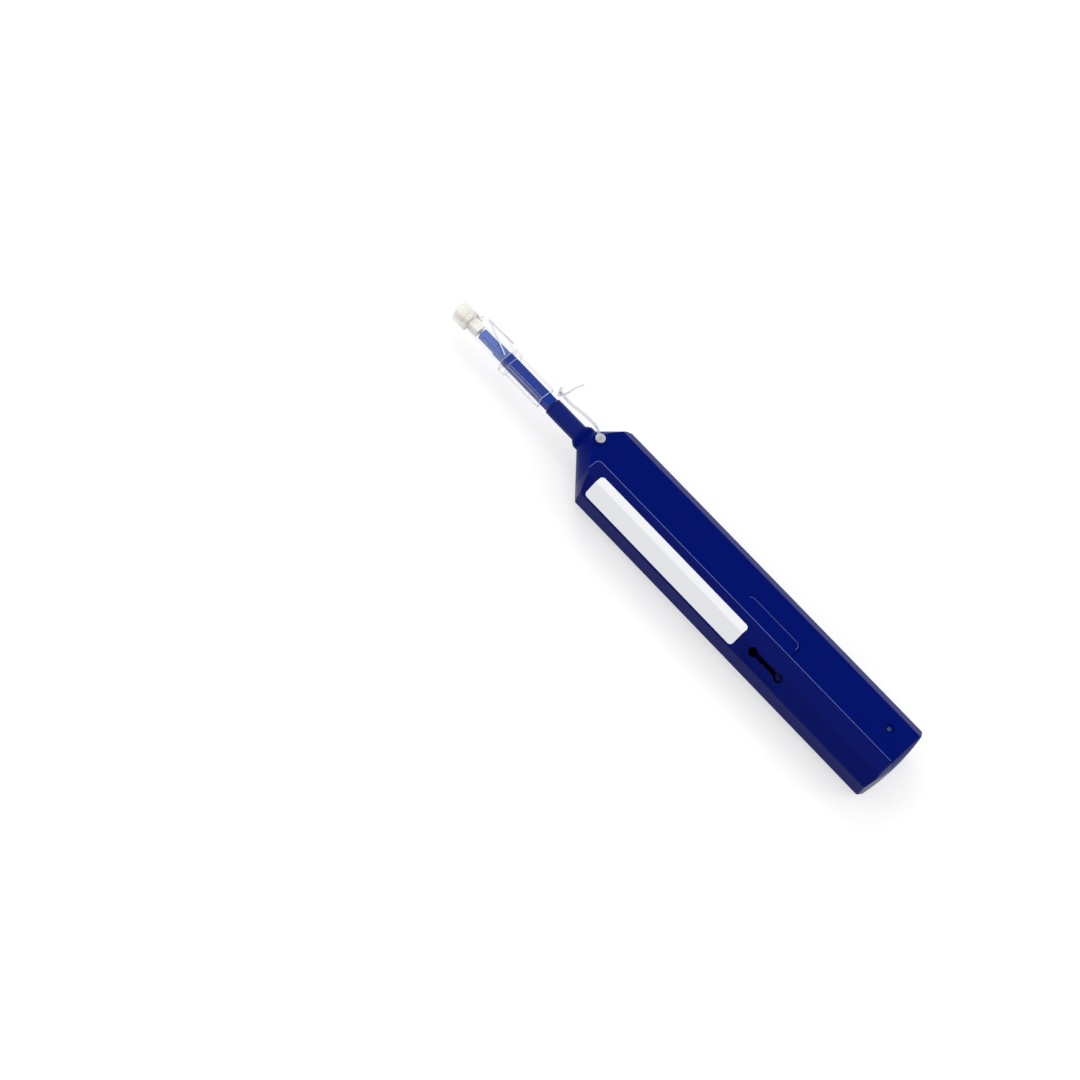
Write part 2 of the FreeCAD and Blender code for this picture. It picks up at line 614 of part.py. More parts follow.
def latch_pillar():
    """Post at the left edge of the base that carries the latch button, with a sloped top."""
    seat = latch_point(LATCH_REST, latch_seat())
    down = Vector(0, 1 / ROOT2, -1 / ROOT2)
    a, b = seat - down * 3.0, seat + down * 3.0
    y1 = min(b.y, BASE_WIDTH / 2)
    profile = [(a.y, BASE_TOP - 0.2), (a.y, a.z), (b.y, b.z), (b.y, b.z - 2.0), (y1, BASE_TOP + 2.0), (y1, BASE_TOP - 0.2)]
    return sweep_x(profile, seat.x - 3.0, seat.x + 3.0)


def latch_button():
    top = -0.5
    head_top = -WALL - RAIL_GAP
    stem = rod(LATCH_STEM_R, top - head_top + 0.1, latch_point(LATCH_REST, head_top - 0.1), LATCH_NORMAL)
    head = rod(LATCH_HEAD_R, LATCH_HEAD, latch_point(LATCH_REST, head_top - LATCH_HEAD), LATCH_NORMAL)
    guide_end = latch_seat() - LATCH_GUIDE
    guide = rod(LATCH_GUIDE_R, head_top - LATCH_HEAD - guide_end + 0.1, latch_point(LATCH_REST, guide_end), LATCH_NORMAL)
    return head.multiFuse([stem, guide])


def latch_spring():
    seat = latch_seat()
    length = -WALL - RAIL_GAP - LATCH_HEAD - seat - 0.02
    return coil(LATCH_GUIDE_R + 0.1 + LATCH_SPRING_WIRE / 2, LATCH_SPRING_WIRE, length, 4,
                latch_point(LATCH_REST, seat + 0.01), LATCH_NORMAL)


def axle(x, y):
    base = Vector(at(x), y, BASE_Z + 0.4)
    return rod(AXLE_R, CEILING - RAIL_GAP - base.z, base, Z)


def cam_pin():
    tip = AXIS_Z + DRUM_R - GROOVE_DEPTH + PIN_TIP_GAP
    top = AXIS_Z + DRUM_R + RAIL_GAP + CAM_ARM
    return rod(CAM_PIN_R, top - tip, Vector(at(CAM_PIN_X), AXIS_Y, tip), Z)


def drive_gear():
    bore = AXLE_R + SHAFT_CLEAR
    base = Vector(at(GEAR_X), GEAR_Y, RACK_Z)
    return gear(GEAR_TEETH, GEAR_HEIGHT, base, bore)


def reel(x, y, z, radius, with_ratchet):
    """Two flanges on a hub, turned as one piece; the take-up reel has a ratchet ring under its lower flange."""
    base = Vector(at(x), y, z)
    bore = AXLE_R + SHAFT_CLEAR
    pieces = [rod(radius, FLANGE, base, Z), rod(radius, FLANGE, base + Z * (REEL_HEIGHT - FLANGE), Z)]
    if with_ratchet:
        step = 2 * math.pi / RATCHET_TEETH
        points = []
        for i in range(RATCHET_TEETH):
            a = i * step
            points.append((base.x + RATCHET_R * math.cos(a), base.y + RATCHET_R * math.sin(a)))
            points.append((base.x + (RATCHET_R - 0.7) * math.cos(a), base.y + (RATCHET_R - 0.7) * math.sin(a)))
        pieces.append(sweep_z(points, z - RATCHET_HEIGHT, z + 0.1))
    hub = rod(HUB_R, REEL_HEIGHT, base, Z).multiFuse(pieces)
    return hub.cut(rod(bore, REEL_HEIGHT + 6, base - Z * 3, Z))


REEL_Z = RACK_Z + GEAR_HEIGHT + LEVEL_GAP + RATCHET_HEIGHT


def thread_roll(x, y, radius):
    gap = 0.02
    base = Vector(at(x), y, REEL_Z + FLANGE + gap)
    return ring(radius, HUB_R, REEL_HEIGHT - 2 * FLANGE - 2 * gap, base, Z)


def ratchet_leaf():
    """Spring leaf beside the ratchet ring, standing on the base."""
    z = REEL_Z - RATCHET_HEIGHT
    x0 = at(GEAR_X) + RATCHET_R + PAWL_GAP
    x1 = max(x0 + PAWL_THICK, at(GEAR_X) + GEAR_R + MODULE + RAIL_GAP)
    y1 = BASE_WIDTH / 2
    leaf = block(x0, x0 + PAWL_THICK, GEAR_Y - PAWL_REACH, y1, z + 0.1, z + RATCHET_HEIGHT - 0.1)
    foot = block(x1, x1 + PAWL_FOOT, y1 - PAWL_FOOT, y1, BASE_TOP, z + RATCHET_HEIGHT - 0.1)
    bridge = block(x0, x1 + PAWL_FOOT, y1 - PAWL_FOOT, y1, z + 0.1, z + RATCHET_HEIGHT - 0.1)
    return leaf.multiFuse([foot, bridge]).removeSplitter()


# ---- nozzle -------------------------------------------------------------------------------------------------
def neck_sleeve():
    body = axis_rod(NECK_R, at(FLANGE_REAR), at(NECK_FRONT))
    body = body.makeChamfer(0.4, [e for e in body.Edges if e.BoundBox.XMin > at(NECK_FRONT) - 0.01])
    flange = axis_rod(NECK_FLANGE_R, at(FLANGE_REAR), at(FLANGE_REAR) + NECK_FLANGE)
    groove = ring(NECK_R + 1, NECK_R - NECK_GROOVE, 0.5, Vector(at(NECK_FRONT) - 1.6, AXIS_Y, AXIS_Z), X)
    lug = block(at(FLANGE_REAR), at(FLANGE_REAR) + NECK_FLANGE, rack_rear(), AXIS_Y - NECK_R, RACK_Z, AXIS_Z)
    body = body.multiFuse([flange, lug]).cut(groove)
    bore = axis_rod(SHAFT_R + SHAFT_CLEAR, at(FLANGE_REAR) - 1, at(NECK_FRONT) + 1)
    socket = square_bar(TUBE_SIDE, TUBE_CORNER_R, at(NECK_FRONT - TUBE_SOCKET), at(NECK_FRONT) + 1)
    return body.cut([bore, socket])


def nozzle_tube():
    body = square_bar(TUBE_SIDE, TUBE_CORNER_R, at(NECK_FRONT - TUBE_SOCKET), at(TUBE_FRONT))
    return body.cut(axis_rod(SHAFT_R + SHAFT_CLEAR, at(NECK_FRONT - TUBE_SOCKET) - 1, at(TUBE_FRONT) + 1))


def head_guide():
    """Stepped square guide in front of the nozzle tube."""
    rear = square_bar(GUIDE_SIDE, 0.3, at(TUBE_FRONT), at(TUBE_FRONT + GUIDE_REAR))
    front = square_bar(GUIDE_NOSE_SIDE, 0.3, at(TUBE_FRONT + GUIDE_REAR) - 0.1, at(GUIDE_FRONT))
    front = front.makeChamfer(0.25, [e for e in front.Edges if e.BoundBox.XMin > at(GUIDE_FRONT) - 0.01])
    body = rear.fuse(front)
    wide = axis_rod(SHAFT_R + SHAFT_CLEAR, at(TUBE_FRONT) - 1, at(TUBE_FRONT) + GUIDE_REAR / 2)
    return body.cut([wide, axis_rod(HEAD_R + SHAFT_CLEAR, at(TUBE_FRONT), at(GUIDE_FRONT) + 1)])


def rack_bar():
    x0 = at(GEAR_X) - RACK_TAIL
    phase = at(GEAR_X)
    return rack(x0, at(FLANGE_REAR), RACK_Z, GEAR_HEIGHT, phase)


def return_spring():
    rear = at(MID_BRIDGE_X + MID_BRIDGE)
    return coil(SPRING_R, SPRING_WIRE, at(FLANGE_REAR) - rear - 0.04, SPRING_TURNS, Vector(rear + 0.02, AXIS_Y, AXIS_Z), X)


# ---- turning head -------------------------------------------------------------------------------------------
def head_shaft():
    drum_rear = CAM_PIN_X - DRUM_END
    shoulder = TUBE_FRONT + GUIDE_REAR / 2 - 0.2
    shaft = axis_rod(SHAFT_R, at(drum_rear), at(shoulder))
    return shaft.fuse(axis_rod(HEAD_R, at(shoulder) - 0.1, at(HEAD_FRONT)))


def cam_drum():
    """Drum whose helical groove runs over the cam pin, so the push turns the head."""
    rear = CAM_PIN_X - DRUM_END
    drum = ring(DRUM_R, SHAFT_R, PUSH_STROKE + 2 * DRUM_END, Vector(at(rear), AXIS_Y, AXIS_Z), X)
    pitch = PUSH_STROKE * 360 / HEAD_TURN
    floor_r = DRUM_R - GROOVE_DEPTH
    room = CAM_PIN_R + GROOVE_CLEAR
    # The flanks slope most at the groove's floor, so the width along the pen is worked out there.
    half = room * math.hypot(1, pitch / (2 * math.pi * floor_r))
    lead = pitch * room / (2 * math.pi * floor_r)
    helix = Part.makeHelix(pitch, PUSH_STROKE + 2 * lead, DRUM_R, 0, True)
    section = polygon([Vector(floor_r, 0, -half), Vector(DRUM_R + 1, 0, -half),
                       Vector(DRUM_R + 1, 0, half), Vector(floor_r, 0, half)])
    groove = Part.Wire(helix).makePipeShell([section], True, True)
    # The helix starts on its own +X, which is turned up to the cam pin; its axis is laid along the pen.
    lay = FreeCAD.Rotation(Z, -Y, X, "ZXY")
    early = FreeCAD.Rotation(X, lead / pitch * 360)
    place = FreeCAD.Placement(Vector(at(CAM_PIN_X) - lead, AXIS_Y, AXIS_Z), early.multiply(lay))
    groove.Placement = place.multiply(groove.Placement)
    return drum.cut(groove)


def cleaning_thread():
    """Flat thread that runs up one side of the head, over its end face and back."""
    width = HEAD_R * 0.9
    x1 = at(HEAD_FRONT)
    t = THREAD_THICK
    back = x1 - HEAD_OUT + 0.05
    over = block(x1, x1 + t, AXIS_Y - width / 2, AXIS_Y + width / 2, AXIS_Z - HEAD_R - t, AXIS_Z + HEAD_R + t)
    legs = [block(back, x1 + t / 2, AXIS_Y - width / 2, AXIS_Y + width / 2, AXIS_Z + s * HEAD_R - (t if s < 0 else 0),
                  AXIS_Z + s * HEAD_R + (t if s > 0 else 0)) for s in (-1, 1)]
    return over.multiFuse(legs).cut(axis_rod(HEAD_R, back - 1, x1))


# ---- guide cap ----------------------------------------------------------------------------------------------
def hinge_line():
    """The lid turns about this upright line, beside the front of the cap."""
    return Vector(at(INSERT_FRONT) - LID_HINGE_BACK, AXIS_Y - BARREL_SIDE / 2 - LID_HINGE_OUT, AXIS_Z)


def hinge_strap():
    """Bowed strap from the flange to the lid's hinge, ending in a round knuckle."""
    root = Vector(at(CAP_REAR + SKIRT_LENGTH) + FLANGE_LENGTH - 0.5, AXIS_Y - FLANGE_SIDE / 2 + STRAP_THICK, AXIS_Z)
    end = hinge_line()
    crown = Vector((root.x + end.x) / 2, AXIS_Y - BARREL_SIDE / 2 - STRAP_BOW, AXIS_Z)
    outer = Part.Arc(root, crown, end)
    middle = outer.toShape()
    inner = middle.makeOffset2D(STRAP_THICK, openResult=True, fill=True)
    band = inner if inner.ShapeType == "Face" else inner.Faces[0]
    band = band.copy()
    band.translate(Vector(0, 0, -STRAP_WIDTH / 2))
    knuckle = rod(HINGE_R, STRAP_WIDTH, end - Z * (STRAP_WIDTH / 2), Z)
    return band.extrude(Vector(0, 0, STRAP_WIDTH)).fuse(knuckle)


def finger_ears():
    """Small grips that stand out on both sides of the flange."""
    x0 = at(CAP_REAR + SKIRT_LENGTH)
    ears = []
    for side in (-1, 1):
        y0, y1 = sorted((AXIS_Y + side * (FLANGE_SIDE / 2 - 0.5), AXIS_Y + side * (FLANGE_SIDE / 2 + EAR_OUT)))
        ear = block(x0, x0 + EAR_LENGTH, y0, y1, AXIS_Z - EAR_WIDTH / 2, AXIS_Z + EAR_WIDTH / 2)
        ears.append(ear.makeChamfer(EAR_OUT * 0.6, [e for e in along(ear, Z) if side * (e.Vertexes[0].Y - AXIS_Y) > FLANGE_SIDE / 2]))
    return ears


def guide_cap():
    rear, skirt_end = at(CAP_REAR), at(CAP_REAR + SKIRT_LENGTH)
    flange_end = skirt_end + FLANGE_LENGTH
    front = at(INSERT_FRONT)
    body = square_bar(SKIRT_SIDE, CAP_CORNER_R, rear, skirt_end)
    flange = square_bar(FLANGE_SIDE, CAP_CORNER_R, skirt_end, flange_end)
    barrel = square_bar(BARREL_SIDE, CAP_CORNER_R * 0.8, flange_end, front)
    lug = rod(EYELET_R, EYELET_THICK, Vector(at(EYELET_X), EYELET_Y, EYELET_Z - EYELET_THICK / 2), Z)
    arm = block(at(EYELET_X), rear + 2 * EYELET_R, EYELET_Y - EYELET_R, AXIS_Y - SKIRT_SIDE / 2 + 0.5,
                EYELET_Z - EYELET_THICK / 2, EYELET_Z + EYELET_THICK / 2)
    body = body.multiFuse([flange, barrel, arm, lug, hinge_strap()] + finger_ears())
    tube_room = square_bar(TUBE_SIDE + 2 * CAP_FIT, TUBE_CORNER_R, rear - 1, at(TUBE_FRONT) + CAP_FIT)
    guide_room = square_bar(GUIDE_SIDE + 2 * CAP_FIT, 0.3, at(TUBE_FRONT), at(INSERT_REAR))
    insert_room = square_bar(BARREL_SIDE - 2 * INSERT_WALL, 0.3, at(INSERT_REAR) - 0.01, front + 1)
    return body.cut([tube_room, guide_room, insert_room])


def ferrule_guide():
    side = BARREL_SIDE - 2 * INSERT_WALL
    body = square_bar(side, 0.3, at(INSERT_REAR), at(INSERT_FRONT))
    mouth = axis_cone(FERRULE_R, FERRULE_R + 0.6, at(INSERT_FRONT) - 0.8, at(INSERT_FRONT) + 0.01)
    room = axis_rod(HEAD_R + 0.3, at(INSERT_REAR) - 1, at(INSERT_REAR) + 1.0)
    return body.cut([axis_rod(FERRULE_R, at(INSERT_REAR) - 1, at(INSERT_FRONT) + 1), mouth, room])


def dust_lid():
    """Clear lid over the front of the cap, with an arm that turns about the strap's knuckle."""
    x0 = at(INSERT_FRONT) + LID_GAP
    x1 = x0 + LID_LENGTH
    lid = square_bar(LID_SIDE + 2 * LID_WALL, LID_CORNER_R, x0, x1)
    lid = lid.makeChamfer(LID_ROUND, [e for e in lid.Edges if e.BoundBox.XMin > x1 - 0.01])
    hinge = hinge_line()
    side = AXIS_Y - LID_SIDE / 2 - LID_WALL
    arm = block(hinge.x + HINGE_R, x0 + LID_WALL, side - LID_WALL, side + LID_WALL, AXIS_Z - STRAP_WIDTH / 2, AXIS_Z + STRAP_WIDTH / 2)
    reach = block(hinge.x, hinge.x + HINGE_R + LID_WALL, hinge.y - 0.4 * HINGE_R, side, AXIS_Z - STRAP_WIDTH / 2, AXIS_Z + STRAP_WIDTH / 2)
    room = square_bar(LID_SIDE, LID_CORNER_R - LID_WALL, x0 - 1, x1 - LID_WALL)
    bevel = LID_ROUND - LID_WALL * (2 - ROOT2)          # keeps the wall's thickness across the bevel
    room = room.makeChamfer(bevel, [e for e in room.Edges if e.BoundBox.XMin > x1 - LID_WALL - 0.01])
    bore = rod(HINGE_R + HINGE_GAP, STRAP_WIDTH + 2, hinge - Z * (STRAP_WIDTH / 2 + 1), Z)
    return lid.multiFuse([arm, reach]).cut([room, bore])


def lid_plug():
    x1 = at(INSERT_FRONT) + LID_GAP + LID_LENGTH - LID_WALL
    x0 = at(INSERT_FRONT) + LID_PLUG_GAP
    return square_bar(LID_PLUG_SIDE, 0.5, x0, x1)


if __name__ == "__main__":
    os.makedirs("parts", exist_ok=True)
    shell = case_shell()
    nodes = {
        "main_case": main_case(shell),
        "side_cover": side_cover(shell),
        "case_pin": case_pin(),
        "blank_label": blank_label(),
        "tether_button": tether_button(),
        "tether_strap": tether_strap(),
        "unit_frame": unit_frame(),
        "take_up_axle": axle(GEAR_X, GEAR_Y),
        "supply_axle": axle(SUPPLY_X, SUPPLY_Y),
        "cam_pin": cam_pin(),
        "ratchet_leaf": ratchet_leaf(),
        "drive_gear": drive_gear(),
        "take_up_reel": reel(GEAR_X, GEAR_Y, REEL_Z, TAKE_UP_R, True),
        "used_thread": thread_roll(GEAR_X, GEAR_Y, TAKE_UP_ROLL_R),
        "supply_reel": reel(SUPPLY_X, SUPPLY_Y, REEL_Z, SUPPLY_R, False),
        "fresh_thread": thread_roll(SUPPLY_X, SUPPLY_Y, SUPPLY_ROLL_R),
        "latch_button": latch_button(),
        "latch_spring": latch_spring(),
        "neck_sleeve": neck_sleeve(),
        "nozzle_tube": nozzle_tube(),
        "head_guide": head_guide(),
        "rack_bar": rack_bar(),
        "return_spring": return_spring(),
        "head_shaft": head_shaft(),
        "cam_drum": cam_drum(),
        "cleaning_thread": cleaning_thread(),
        "guide_cap": guide_cap(),
        "ferrule_guide": ferrule_guide(),
        "dust_lid": dust_lid(),
        "lid_plug": lid_plug(),
    }
    for name, shape in nodes.items():
        print(name, "solids", len(shape.Solids), "valid", shape.isValid(), "volume", round(shape.Volume, 1),
              "box", [round(v, 1) for v in (shape.BoundBox.XMin, shape.BoundBox.XMax, shape.BoundBox.YMin,
                                            shape.BoundBox.YMax, shape.BoundBox.ZMin, shape.BoundBox.ZMax)])
        shape.exportStep(f"parts/{name}.step")
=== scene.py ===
import math

import bmesh
import bpy
from mathutils import Matrix, Vector


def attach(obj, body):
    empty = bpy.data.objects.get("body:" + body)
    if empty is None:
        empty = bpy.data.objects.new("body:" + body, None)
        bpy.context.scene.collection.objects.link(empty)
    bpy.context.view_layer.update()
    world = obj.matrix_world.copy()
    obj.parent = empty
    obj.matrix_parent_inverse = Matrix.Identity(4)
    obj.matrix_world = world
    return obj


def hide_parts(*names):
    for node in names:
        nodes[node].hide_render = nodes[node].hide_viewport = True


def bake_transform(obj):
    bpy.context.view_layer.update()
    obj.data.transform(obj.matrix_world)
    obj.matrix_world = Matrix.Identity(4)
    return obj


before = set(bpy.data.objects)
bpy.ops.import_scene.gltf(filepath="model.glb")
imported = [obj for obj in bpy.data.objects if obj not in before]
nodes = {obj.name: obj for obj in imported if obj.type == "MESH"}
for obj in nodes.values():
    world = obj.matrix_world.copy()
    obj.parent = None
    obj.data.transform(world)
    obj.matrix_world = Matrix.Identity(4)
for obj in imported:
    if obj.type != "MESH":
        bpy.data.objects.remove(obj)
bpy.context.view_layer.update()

MM = 0.001
AXIS_Y, AXIS_Z = -2.6, 9.0    # nozzle axis, in millimetres as every size below


# ---- materials ----------------------------------------------------------------------------------------------
def linear(r, g, b):
    """Linear colour of an 8-bit display colour."""
    levels = [c / 255 for c in (r, g, b)]
    return tuple(v / 12.92 if v <= 0.04045 else ((v + 0.055) / 1.055) ** 2.4 for v in levels) + (1.0,)


def new_group(name, inputs, outputs):
    group = bpy.data.node_groups.new(name, "ShaderNodeTree")
    for label, kind, value in inputs:
        socket = group.interface.new_socket(label, in_out="INPUT", socket_type=kind)
        socket.default_value = value
    for label, kind in outputs:
        group.interface.new_socket(label, in_out="OUTPUT", socket_type=kind)
    return group, group.nodes.new("NodeGroupInput"), group.nodes.new("NodeGroupOutput")


def moulded_surface():
    """Fine moulded texture: slight colour drift, roughness patches and a very shallow grain."""
    group, inside, out = new_group(
        "moulded_surface",
        [("Color", "NodeSocketColor", (0.5, 0.5, 0.5, 1)), ("Drift", "NodeSocketFloat", 0.08),
         ("Roughness", "NodeSocketFloat", 0.3), ("Patches", "NodeSocketFloat", 0.06),
         ("Grain Size", "NodeSocketFloat", 0.0006), ("Grain Depth", "NodeSocketFloat", 0.00001)],
        [("Color", "NodeSocketColor"), ("Roughness", "NodeSocketFloat"), ("Height", "NodeSocketFloat")])
    tree, link = group.nodes, group.links.new
    place = tree.new("ShaderNodeTexCoord")
    clouds = tree.new("ShaderNodeTexNoise")
    clouds.inputs["Scale"].default_value = 60
    clouds.inputs["Detail"].default_value = 4
    link(place.outputs["Object"], clouds.inputs["Vector"])
    shift = tree.new("ShaderNodeMath")
    shift.operation = "SUBTRACT"
    link(clouds.outputs["Fac"], shift.inputs[0])
    shift.inputs[1].default_value = 0.5
    tint = tree.new("ShaderNodeMath")
    tint.operation = "MULTIPLY_ADD"
    link(shift.outputs[0], tint.inputs[0])
    link(inside.outputs["Drift"], tint.inputs[1])
    tint.inputs[2].default_value = 1.0
    shade = tree.new("ShaderNodeVectorMath")
    shade.operation = "SCALE"
    link(inside.outputs["Color"], shade.inputs[0])
    link(tint.outputs[0], shade.inputs["Scale"])
    link(shade.outputs["Vector"], out.inputs["Color"])
    rough = tree.new("ShaderNodeMath")
    rough.operation = "MULTIPLY_ADD"
    link(shift.outputs[0], rough.inputs[0])
    link(inside.outputs["Patches"], rough.inputs[1])
    link(inside.outputs["Roughness"], rough.inputs[2])
    link(rough.outputs[0], out.inputs["Roughness"])
    fineness = tree.new("ShaderNodeMath")
    fineness.operation = "DIVIDE"
    fineness.inputs[0].default_value = 1.0
    link(inside.outputs["Grain Size"], fineness.inputs[1])
    grain = tree.new("ShaderNodeTexNoise")
    grain.inputs["Detail"].default_value = 2
    link(place.outputs["Object"], grain.inputs["Vector"])
    link(fineness.outputs[0], grain.inputs["Scale"])
    height = tree.new("ShaderNodeMath")
    height.operation = "MULTIPLY"
    link(grain.outputs["Fac"], height.inputs[0])
    link(inside.outputs["Grain Depth"], height.inputs[1])
    link(height.outputs[0], out.inputs["Height"])
    return group


MOULDED = moulded_surface()


def moulded(name, color, rough=0.3, drift=0.08, patches=0.06, grain=0.0006, depth=0.00001, specular=0.5,
            metallic=0.0):
    """A moulded plastic, or a metal or thread where metallic or rough say so."""
    material = bpy.data.materials.new(name)
    material.use_nodes = True
    tree, link = material.node_tree.nodes, material.node_tree.links.new
    shader = tree["Principled BSDF"]
    surface = tree.new("ShaderNodeGroup")
    surface.node_tree = MOULDED
    surface.inputs["Color"].default_value = color
    surface.inputs["Drift"].default_value = drift
    surface.inputs["Roughness"].default_value = rough
    surface.inputs["Patches"].default_value = patches
    surface.inputs["Grain Size"].default_value = grain
    surface.inputs["Grain Depth"].default_value = depth
    link(surface.outputs["Color"], shader.inputs["Base Color"])
    link(surface.outputs["Roughness"], shader.inputs["Roughness"])
    bump = tree.new("ShaderNodeBump")
    bump.inputs["Strength"].default_value = 0.5
    bump.inputs["Distance"].default_value = 1.0
    link(surface.outputs["Height"], bump.inputs["Height"])
    link(bump.outputs["Normal"], shader.inputs["Normal"])
    shader.inputs["Specular IOR Level"].default_value = specular
    shader.inputs["Metallic"].default_value = metallic
    return material


def clear_moulded(name, color, haze, rim, rough=0.1, blend=0.15, square_on=0.05):
    """Thin clear plastic: haze where it is seen square on, rim where its wall turns away."""
    material = moulded(name, color, rough=rough, drift=0.02, patches=0.03, depth=0.000004, specular=0.35)
    tree, link = material.node_tree.nodes, material.node_tree.links.new
    turn = tree.new("ShaderNodeLayerWeight")
    turn.inputs["Blend"].default_value = blend
    body = tree.new("ShaderNodeMapRange")
    body.inputs["From Min"].default_value = square_on
    body.inputs["To Min"].default_value = haze
    body.inputs["To Max"].default_value = rim
    link(turn.outputs["Facing"], body.inputs["Value"])
    link(body.outputs["Result"], tree["Principled BSDF"].inputs["Alpha"])
    return material


case_blue = moulded("case_blue", linear(0, 18, 106), rough=0.3, specular=0.02)
cover_blue = moulded("cover_blue", linear(0, 14, 98), rough=0.3, specular=0.06)
neck_blue = moulded("neck_blue", linear(0, 24, 112), rough=0.22, specular=0.12)
tube_blue = moulded("tube_blue", linear(10, 50, 146), rough=0.28, specular=0.16)
# light blue: the guide's own blue, painted lighter for the veil of light that the clear cap lays over it
guide_blue = moulded("guide_blue", linear(90, 117, 194), rough=0.35, specular=0.3)
# dark blue-black: painted shade for the frame where it shows inside the case through the latch slot
unit_shade_blue = moulded("unit_shade_blue", linear(2, 14, 84), rough=0.5, specular=0.1)
pin_blue = moulded("pin_blue", linear(2, 14, 90), rough=0.15, specular=0.7)
# blue-black: the button's blue darkened as painted shade inside its slot
latch_blue = moulded("latch_blue", linear(2, 12, 76), rough=0.5, specular=0.1)
# lighter blue for the painted highlight along the seam and the snap finger's slit
seam_highlight_blue = moulded("seam_highlight_blue", linear(112, 120, 205), rough=0.4, specular=0.3)
label_film = moulded("label_film", linear(244, 245, 248), rough=0.4, drift=0.01, specular=0.2, grain=0.0012,
                     depth=0.000004)
clear_cap = clear_moulded("clear_cap", linear(228, 233, 243), 0.01, 0.5)
clear_lid = clear_moulded("clear_lid", linear(250, 249, 245), 0.12, 0.85, blend=0.2)
# whitish, fairly opaque clear plastic: painted sheen of the clear walls where they turn, also used on the knuckle ends
# and the lid's cradle
cap_sheen = clear_moulded("cap_sheen", linear(240, 242, 247), 0.55, 0.9)
# near-white, almost opaque: painted refraction highlight on the cap's V ribs
rib_highlight = clear_moulded("rib_highlight", linear(252, 252, 254), 0.8, 1.0)
clear_strap = clear_moulded("clear_strap", linear(208, 209, 221), 0.25, 1.0, blend=0.45)
clear_button = clear_moulded("clear_button", linear(236, 238, 244), 0.36, 1.0, blend=0.45)
ferrule_cream = moulded("ferrule_cream", linear(253, 248, 240), rough=0.4, drift=0.02)
plug_cream = moulded("plug_cream", linear(255, 252, 243), rough=0.5, drift=0.02)
acetal_white = moulded("acetal_white", linear(222, 222, 218), rough=0.4, drift=0.04)
bright_steel = moulded("bright_steel", linear(170, 172, 176), rough=0.25, metallic=1.0, grain=0.0003,
                       depth=0.000002)
cleaning_weave = moulded("cleaning_weave", linear(238, 238, 234), rough=0.85, drift=0.1, grain=0.00025, depth=0.00003)

finishes = {
    case_blue: ["main_case"], cover_blue: ["side_cover"], neck_blue: ["neck_sleeve"], tube_blue: ["nozzle_tube"],
    guide_blue: ["head_guide"], latch_blue: ["latch_button"], label_film: ["blank_label"], pin_blue: ["case_pin"],
    clear_cap: ["guide_cap"], clear_lid: ["dust_lid"], unit_shade_blue: ["unit_frame"], clear_button: ["tether_button"],
    ferrule_cream: ["ferrule_guide"], plug_cream: ["lid_plug"],
    acetal_white: ["rack_bar", "cam_drum", "drive_gear", "take_up_reel", "supply_reel"],
    bright_steel: ["take_up_axle", "supply_axle", "cam_pin", "ratchet_leaf", "return_spring", "latch_spring",
                   "head_shaft"],
    cleaning_weave: ["used_thread", "fresh_thread", "cleaning_thread"],
}
for material, names in finishes.items():
    for name in names:
        mesh = nodes[name].data
        mesh.materials.clear()
        mesh.materials.append(material)


# ---- strap, painted seam highlight, painted sheen on the cap's edges and ribs, lid and springs ----------------
def eased(points, steps=6):
    """Smooth run through the points, given in millimetres."""
    knots = [Vector(p) * MM for p in points]
    knots = [2 * knots[0] - knots[1]] + knots + [2 * knots[-1] - knots[-2]]
    run = []
    for a, b, c, d in zip(knots, knots[1:], knots[2:], knots[3:]):
        for i in range(steps):
            t = i / steps
            square, cube = 2 * a - 5 * b + 4 * c - d, 3 * b - 3 * c + d - a
            run.append(0.5 * (2 * b + (c - a) * t + square * t * t + cube * t ** 3))
    return run + [knots[-2]]


def round_bar(name, run, radius, material, sides=12):
    """Closed round bar along a run of points in metres; radius in millimetres, one value or one per point."""
    radii = [radius * MM] * len(run) if isinstance(radius, (int, float)) else [r * MM for r in radius]
    build = bmesh.new()
    rings, side = [], None
    for i, point in enumerate(run):
        ahead = (run[min(i + 1, len(run) - 1)] - run[max(i - 1, 0)]).normalized()
        if side is None:
            side = ahead.orthogonal().normalized()
        side = (side - ahead * side.dot(ahead)).normalized()
        other = ahead.cross(side)
        turn = [2 * math.pi * k / sides for k in range(sides)]
        ring = [point + (side * math.cos(a) + other * math.sin(a)) * radii[i] for a in turn]
        rings.append([build.verts.new(corner) for corner in ring])
    for near, far in zip(rings, rings[1:]):
        for k in range(sides):
            build.faces.new((near[k], near[(k + 1) % sides], far[(k + 1) % sides], far[k]))
    build.faces.new(list(reversed(rings[0])))
    build.faces.new(rings[-1])
    for face in build.faces:
        face.smooth = len(face.verts) == 4
    mesh = bpy.data.meshes.new(name)
    build.to_mesh(mesh)
    build.free()
    mesh.materials.append(material)
    bar = bpy.data.objects.new(name, mesh)
    bpy.context.scene.collection.objects.link(bar)
    return bar


